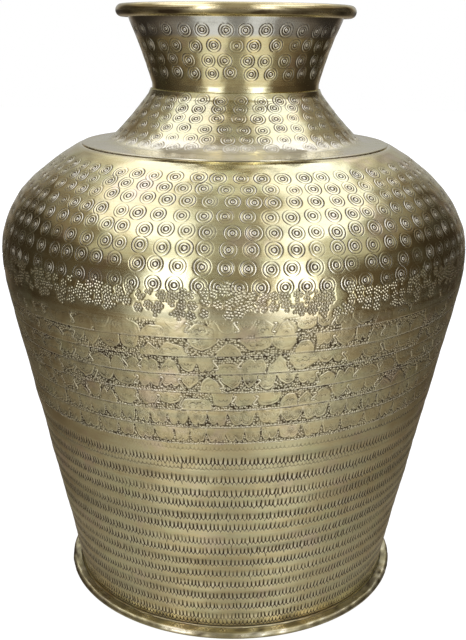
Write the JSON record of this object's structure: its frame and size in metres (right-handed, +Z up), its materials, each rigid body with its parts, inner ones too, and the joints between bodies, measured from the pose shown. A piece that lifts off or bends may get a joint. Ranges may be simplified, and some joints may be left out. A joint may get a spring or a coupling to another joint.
{
  "type": "hammered brass water pot",
  "caption": "Tall hammered brass pot with a flared neck and rolled rim, a stepped shoulder, a tapered body covered in punched rows, and a rolled foot.",
  "frame": {"origin": "centre of the circle the foot rests on, at floor level", "axes": "+Z up along the pot's axis; +X to the right and +Y away for someone facing the pot; the pot is round, so X and Y are free"},
  "size_m": [0.4446, 0.4446, 0.5598],
  "materials": {
    "neck_brass": "antique satin, hand punched",
    "collar_brass": "antique satin, hand punched",
    "shoulder_brass": "antique semi-polished, hand punched",
    "lower_brass": "antique matt, hand punched, dark patina in the marks",
    "base_brass": "antique satin, folded edge",
    "wire_brass": "drawn rod",
    "braze_metal": "as cast"
  },
  "bodies": {
    "root": {"neck_funnel": "neck_brass", "rim_wire": "wire_brass", "waist_braze": "braze_metal", "collar_cone": "collar_brass", "collar_braze": "braze_metal", "shoulder_shell": "shoulder_brass", "belly_braze": "braze_metal", "lower_body": "lower_brass", "base_plate": "base_brass", "foot_wire": "wire_brass", "base_braze": "braze_metal"}
  },
  "joints": []
}
